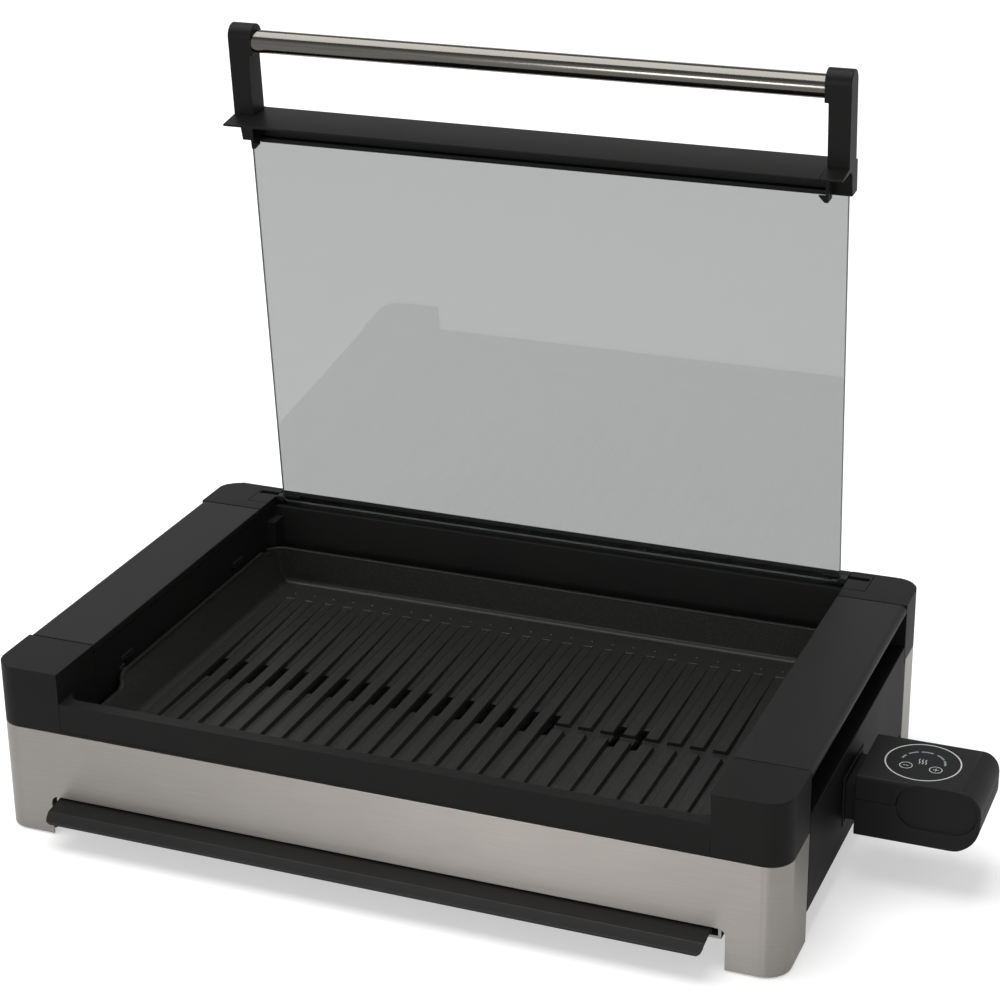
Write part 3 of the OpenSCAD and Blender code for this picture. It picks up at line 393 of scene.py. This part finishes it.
brass = plainMetal("nickelPlatedBrass", {"dark": "#a79d80", "light": "#bdb495", "roughness": 0.3,
                                         "grain": 0.002})
screwSteel = plainMetal("zincPlatedSteel", {"dark": "#8e9092", "light": "#a4a6a8", "roughness": 0.38,
                                            "grain": 0.001})

# what each CAD node is made of
finishes = {
    "steel_front": steel, "steel_rear": steel, "upper_frame": bodyPlastic, "side_bar_left": barPlastic,
    "side_bar_right": barPlastic, "side_panel_left": panelPlastic, "side_panel_right": panelPlastic,
    "hinge_cover_left": bodyPlastic, "hinge_cover_right": bodyPlastic, "foot_pads": padRubber,
    "heat_shield": sheetSteel, "plate_posts": springSteel, "plate_guides": springSteel,
    "heating_element": elementSteel, "element_straps": sheetSteel, "socket_housing": socketPlastic,
    "contact_pins": brass, "tray_runner_left": sheetSteel, "tray_runner_right": sheetSteel,
    "frame_screws": screwSteel, "drip_tray": enamel, "grill_plate": coating, "control_upper": controlPlastic,
    "control_lower": controlPlastic, "touch_panel": panelGloss, "plug_nose": socketPlastic,
    "plug_sleeves": brass, "probe_rod": tubeSteel, "control_board": boardGreen, "cord_gland": padRubber,
    "control_screws": screwSteel, "lid_glass": glass, "glass_seal": padRubber, "lid_crossbar": lidPlastic,
    "handle_bracket_left": lidPlastic, "handle_bracket_right": lidPlastic, "handle_tube": tubeSteel,
    "hinge_shoe_left": springSteel, "hinge_shoe_right": springSteel, "bracket_screws": screwSteel,
}
bodies = {node: body for body, members in frame["record"]["behaviour"]["bodies"].items() for node in members}
for nodeName, material in finishes.items():
    wear(nodes[nodeName], material)
print("nodes given their finish:", len(finishes))


# every moulding and sheet gets the small radius that its tool leaves
edgeSettings = {
    # node: radius in metres; 0 only shades round walls round
    "steel_front": 0.00025, "steel_rear": 0.00025, "side_bar_left": 0.0006, "side_bar_right": 0.0006,
    "side_panel_left": 0.0006, "side_panel_right": 0.0006, "upper_frame": 0.0005, "hinge_cover_left": 0.0003,
    "hinge_cover_right": 0.0003, "lid_crossbar": 0.0004, "handle_bracket_left": 0.0005,
    "handle_bracket_right": 0.0005, "control_upper": 0.0004, "control_lower": 0.0004, "drip_tray": 0.0003,
    "grill_plate": 0.0004, "socket_housing": 0.0004, "plug_nose": 0.0004, "handle_tube": 0,
    "foot_pads": 0.0004, "heating_element": 0, "heat_shield": 0.0001, "tray_runner_left": 0.0001,
    "tray_runner_right": 0.0001, "hinge_shoe_left": 0.0002, "hinge_shoe_right": 0.0002, "touch_panel": 0,
    "probe_rod": 0, "plug_sleeves": 0, "contact_pins": 0, "cord_gland": 0.0002, "control_screws": 0.0001,
    "frame_screws": 0.0001, "bracket_screws": 0.0001, "plate_posts": 0.0002, "glass_seal": 0.0002,
    "control_board": 0, "plate_guides": 0.0002, "element_straps": 0.0001,
}
edgeRules = {
    "weld": 2e-6,                   # metres
    "flatAngle": 0.6,               # degrees; faces that meet flatter than this become one
    "roundAbove": 30,               # degrees; edges folded by more than this get the radius
    "creaseAbove": 50,              # degrees; edges still folded by more than this are shaded sharp
    "segments": 2,
    "openShare": 0.95,              # how much of a side edge a radius may take
    "sharedShare": 0.48,            # the same where another radius comes from its far end
    "leastRoom": 0.5,               # with less room than this share of its radius, an edge stays sharp
    "straight": 0.2,                # radians; corners nearer to a straight line limit nothing
    "leastSine": 0.05,              # side edges that nearly follow the edge limit nothing either
    "splitFirst": {"upper_frame"},  # its wide faces have windows, so they are split before the rounding
}


# whether the faces beside an edge are wide enough for its radius
def hasRoom(edge, sharp, radius, s):
    room = radius
    for loop in edge.link_loops:
        following = loop.link_loop_next
        for corner, other in ((loop, loop.link_loop_prev.edge), (following, following.edge)):
            angle = corner.calc_angle()
            if not corner.is_convex:
                angle = 2 * math.pi - angle
            if other in sharp:
                if abs(angle - math.pi) > s["straight"]:
                    halfTangent = math.tan(min(angle, 2 * math.pi - angle) / 2)
                    room = min(room, s["sharedShare"] * halfTangent * edge.calc_length())
            elif abs(math.sin(angle)) > s["leastSine"]:
                far = other.other_vert(corner.vert)
                share = s["sharedShare"] if any(e in sharp for e in far.link_edges) else s["openShare"]
                room = min(room, share * other.calc_length() * abs(math.sin(angle)))
    return room > s["leastRoom"] * radius


def splitManySided(work):
    bmesh.ops.triangulate(work, faces=[f for f in work.faces if len(f.verts) > 4])


def softened(nodeName, radius, s):
    mesh = nodes[nodeName].data.copy()
    piece = newObject(nodeName + "_finished", mesh)
    work = bmesh.new()
    work.from_mesh(mesh)
    bmesh.ops.remove_doubles(work, verts=work.verts, dist=s["weld"])
    if radius:
        bmesh.ops.dissolve_limit(work, angle_limit=math.radians(s["flatAngle"]), verts=work.verts,
                                 edges=work.edges, delimit={"NORMAL"})
        if nodeName in s["splitFirst"]:
            splitManySided(work)
        roundAbove = math.radians(s["roundAbove"])
        sharp = {e for e in work.edges if e.is_manifold and e.calc_face_angle(0) > roundAbove}
        rounded = [e for e in work.edges if e in sharp and hasRoom(e, sharp, radius, s)]
        bmesh.ops.bevel(work, geom=rounded, offset=radius, offset_type="OFFSET", segments=s["segments"],
                        profile=0.5, affect="EDGES", clamp_overlap=False)
    splitManySided(work)
    for face in work.faces:
        face.smooth = True
    creaseAbove = math.radians(s["creaseAbove"])
    for edge in work.edges:
        edge.smooth = not (edge.is_manifold and edge.calc_face_angle(0) > creaseAbove)
    work.to_mesh(mesh)
    work.free()
    flat = piece.modifiers.new("flatFaces", "WEIGHTED_NORMAL")  # keeps wide faces flat beside their radii
    flat.keep_sharp = True
    applyModifiers(piece)
    wear(piece, finishes[nodeName])
    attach(piece, bodies[nodeName])
    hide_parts(nodeName)


for nodeName, radius in edgeSettings.items():
    softened(nodeName, radius, edgeRules)
print("edges softened:", len(edgeSettings))


# the pane is clear through its two faces; its ground edges get an opaque dark grey, painted shade in place
# of the light seen through them
def paneWithPaintedEdgeShade(leastFacing=0.7):
    mesh = nodes["lid_glass"].data.copy()
    piece = newObject("lid_glass_finished", mesh)
    wear(piece, glass)
    mesh.materials.append(groundEdgePaintedShade)
    through = max(mesh.polygons, key=lambda f: f.area).normal.copy()
    for face in mesh.polygons:
        face.material_index = 0 if abs(face.normal.dot(through)) > leastFacing else 1
    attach(piece, bodies["lid_glass"])
    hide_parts("lid_glass")


paneWithPaintedEdgeShade()


# plain dial marks on the touch panel; lengths in metres from its centre, angles in degrees
markSettings = {
    "ring": (0.0230, 0.0009),           # radius and stroke
    "arcs": [(153, 174), (115, 143), (75, 107), (32, 62), (0, 27)],
    "arcLine": (0.0133, 0.0013),
    "buttons": [(-0.0092, -0.0069, False), (0.0092, -0.0069, True)],    # the second has a plus
    "buttonLine": (0.0038, 0.0005),
    "signLength": 0.0034,
    "waves": (-0.0024, -0.0004, 0.0016),
    "waveMiddle": 0.0006,
    "waveHeight": 0.006,
    "waveReach": 0.0005,
    "waveSteps": 12,
    "inkHeight": 0.00002,
}


# a flat band of ink along a line of points
def stroke(work, points, width):
    pairs = []
    for i, point in enumerate(points):
        ahead = (points[min(i + 1, len(points) - 1)] - points[max(i - 1, 0)]).normalized()
        side = Vector((-ahead.y, ahead.x, 0)) * width / 2
        pairs.append((work.verts.new(point + side), work.verts.new(point - side)))
    for (a, b), (c, d) in zip(pairs, pairs[1:]):
        work.faces.new((a, b, d, c))


def arc(center, radius, first, last, degreesPerStep=4, leastSteps=8):
    count = max(leastSteps, int(abs(last - first) / degreesPerStep))
    turns = [math.radians(first + (last - first) * i / count) for i in range(count + 1)]
    return [center + Vector((math.cos(t), math.sin(t), 0)) * radius for t in turns]


def wave(center, x, s):
    parts = [i / s["waveSteps"] for i in range(s["waveSteps"] + 1)]
    return [center + Vector((x + s["waveReach"] * math.sin(2 * math.pi * t),
                             s["waveMiddle"] + s["waveHeight"] * (t - 0.5), 0)) for t in parts]


def printMarks(name, ink, lines):
    work = bmesh.new()
    for points, width in lines:
        stroke(work, points, width)
    work.normal_update()
    for face in work.faces:
        if face.normal.z < 0:
            face.normal_flip()
    mesh = bpy.data.meshes.new(name)
    work.to_mesh(mesh)
    work.free()
    piece = newObject(name, mesh)
    wear(piece, ink)
    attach(piece, bodies["touch_panel"])


def touchMarks(s):
    low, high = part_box("touch_panel")
    center = Vector(((low[0] + high[0]) / 2, (low[1] + high[1]) / 2, high[2] + s["inkHeight"]))
    radius, width = s["ring"]
    pale = [(arc(center, radius, 0, 360), width)]
    radius, width = s["buttonLine"]
    for x, y, plus in s["buttons"]:
        spot = center + Vector((x, y, 0))
        pale.append((arc(spot, radius, 0, 360), width))
        reach = Vector((s["signLength"] / 2, 0, 0))
        pale.append(([spot - reach, spot + reach], width))
        if plus:
            rise = Vector((0, s["signLength"] / 2, 0))
            pale.append(([spot - rise, spot + rise], width))
    pale += [(wave(center, x, s), width) for x in s["waves"]]
    printMarks("touch_ring_and_signs", paleInk, pale)
    radius, width = s["arcLine"]
    printMarks("touch_level_arcs", greyInk, [(arc(center, radius, a, b), width) for a, b in s["arcs"]])


touchMarks(markSettings)
print("panel marks made")


# small cast pips at the rear ends of the ribs, in metres
pipSettings = {
    "count": 25,
    "first": (-0.2238, 0.1185, 0.0592),
    "pitch": (0.0151, 0, 0),
    "size": (0.0034, 0.0030, 0.0016),
}


def pipRow(s):
    tree = bpy.data.node_groups.new("pipRow", "GeometryNodeTree")
    tree.interface.new_socket("Geometry", in_out="OUTPUT", socket_type="NodeSocketGeometry")
    given = {"Count": ("NodeSocketInt", s["count"]), "First": ("NodeSocketVector", s["first"]),
             "Pitch": ("NodeSocketVector", s["pitch"]), "Size": ("NodeSocketVector", s["size"]),
             "Material": ("NodeSocketMaterial", coating)}
    sockets = {label: tree.interface.new_socket(label, in_out="INPUT", socket_type=kind)
               for label, (kind, value) in given.items()}
    start = addNode(tree, "NodeGroupInput")
    line = addNode(tree, "GeometryNodeMeshLine", {"mode": "OFFSET"},
                   {"Count": (start, "Count"), "Start Location": (start, "First"),
                    "Offset": (start, "Pitch")})
    ball = addNode(tree, "GeometryNodeMeshUVSphere", {"Segments": 16, "Rings": 8, "Radius": 0.5})
    placed = addNode(tree, "GeometryNodeInstanceOnPoints",
                     links={"Points": (line, 0), "Instance": (ball, 0), "Scale": (start, "Size")})
    real = addNode(tree, "GeometryNodeRealizeInstances", links={0: (placed, 0)})
    coated = addNode(tree, "GeometryNodeSetMaterial", links={0: (real, 0), "Material": (start, "Material")})
    addNode(tree, "NodeGroupOutput", links={0: (coated, 0)})
    piece = newObject("rib_end_pips", bpy.data.meshes.new("pipStart"))
    modifier = piece.modifiers.new("pipRow", "NODES")
    modifier.node_group = tree
    for label, (kind, value) in given.items():
        modifier[sockets[label].identifier] = value
    applyModifiers(piece)
    for face in piece.data.polygons:
        face.use_smooth = True
    wear(piece, coating)
    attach(piece, bodies["grill_plate"])
    print("pips made:", len(piece.data.polygons), "faces")


pipRow(pipSettings)

print("finished")
